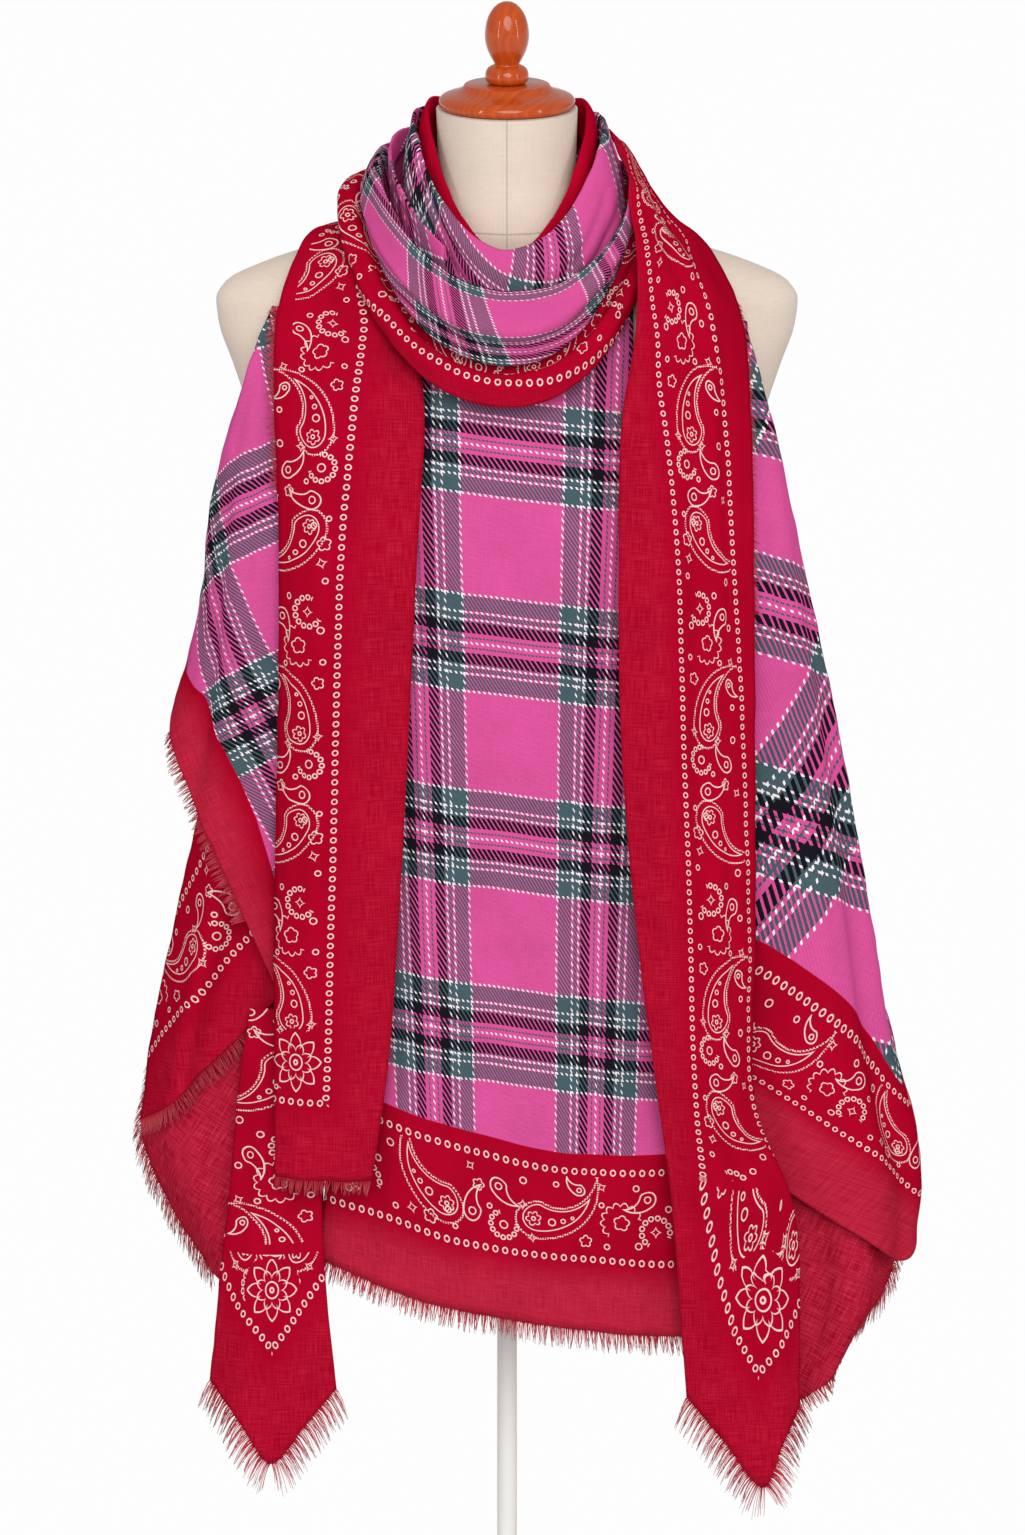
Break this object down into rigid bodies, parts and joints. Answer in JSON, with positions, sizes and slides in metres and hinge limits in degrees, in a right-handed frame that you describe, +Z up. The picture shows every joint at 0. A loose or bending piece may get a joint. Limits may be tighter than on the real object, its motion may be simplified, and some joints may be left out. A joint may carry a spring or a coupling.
{
  "type": "fringed bandana shawl on a limbless dress form",
  "caption": "Large fringed bandana shawl, tartan centre and paisley border, wound as a cowl on a limbless dress form with a turned wood neck cap, on a rod and round base.",
  "frame": {"origin": "centre of the round base's underside, on the neck's axis", "axes": "+Z up along the rod and the neck, -Y out of the front of the form, +X to the viewer's right from the front"},
  "size_m": [0.5512, 0.2799, 1.1551],
  "materials": {
    "linen": "plain woven linen cover, matt",
    "cherry_wood": "polished red-brown lacquered wood",
    "stand_steel": "off-white satin paint",
    "tartan_cloth": "soft light twill, orchid pink tartan with slate, black and white lines",
    "print_cloth": "soft light plain weave, red with pale paisley and ring-dot print",
    "sheer_hem_cloth": "thin open plain weave, red"
  },
  "bodies": {
    "root": {"form_body": "linen", "neck_cap": "cherry_wood", "finial": "cherry_wood", "foot_plate": "cherry_wood", "rod": "stand_steel", "base": "stand_steel", "front_panel": "tartan_cloth", "left_tail": "print_cloth", "right_tail": "print_cloth", "left_point": "print_cloth", "left_flap": "print_cloth", "left_under": "sheer_hem_cloth", "right_under": "sheer_hem_cloth", "left_wing": "tartan_cloth", "right_wing": "tartan_cloth", "neck_collar": "print_cloth", "neck_loop_inner": "tartan_cloth", "neck_loop_twist": "tartan_cloth", "neck_loop_outer": "tartan_cloth", "neck_border": "print_cloth", "front_hem_fringe": "print_cloth", "left_tail_hem_fringe": "print_cloth", "left_tail_side_fringe": "print_cloth", "right_tail_inner_fringe": "print_cloth", "right_tail_outer_fringe": "print_cloth", "right_tail_side_fringe": "print_cloth", "left_point_inner_fringe": "print_cloth", "left_point_outer_fringe": "print_cloth", "left_wing_fringe": "print_cloth", "left_flap_fringe": "print_cloth", "left_under_fringe": "sheer_hem_cloth", "right_under_side_fringe": "sheer_hem_cloth", "right_under_hem_fringe": "sheer_hem_cloth"}
  },
  "joints": []
}
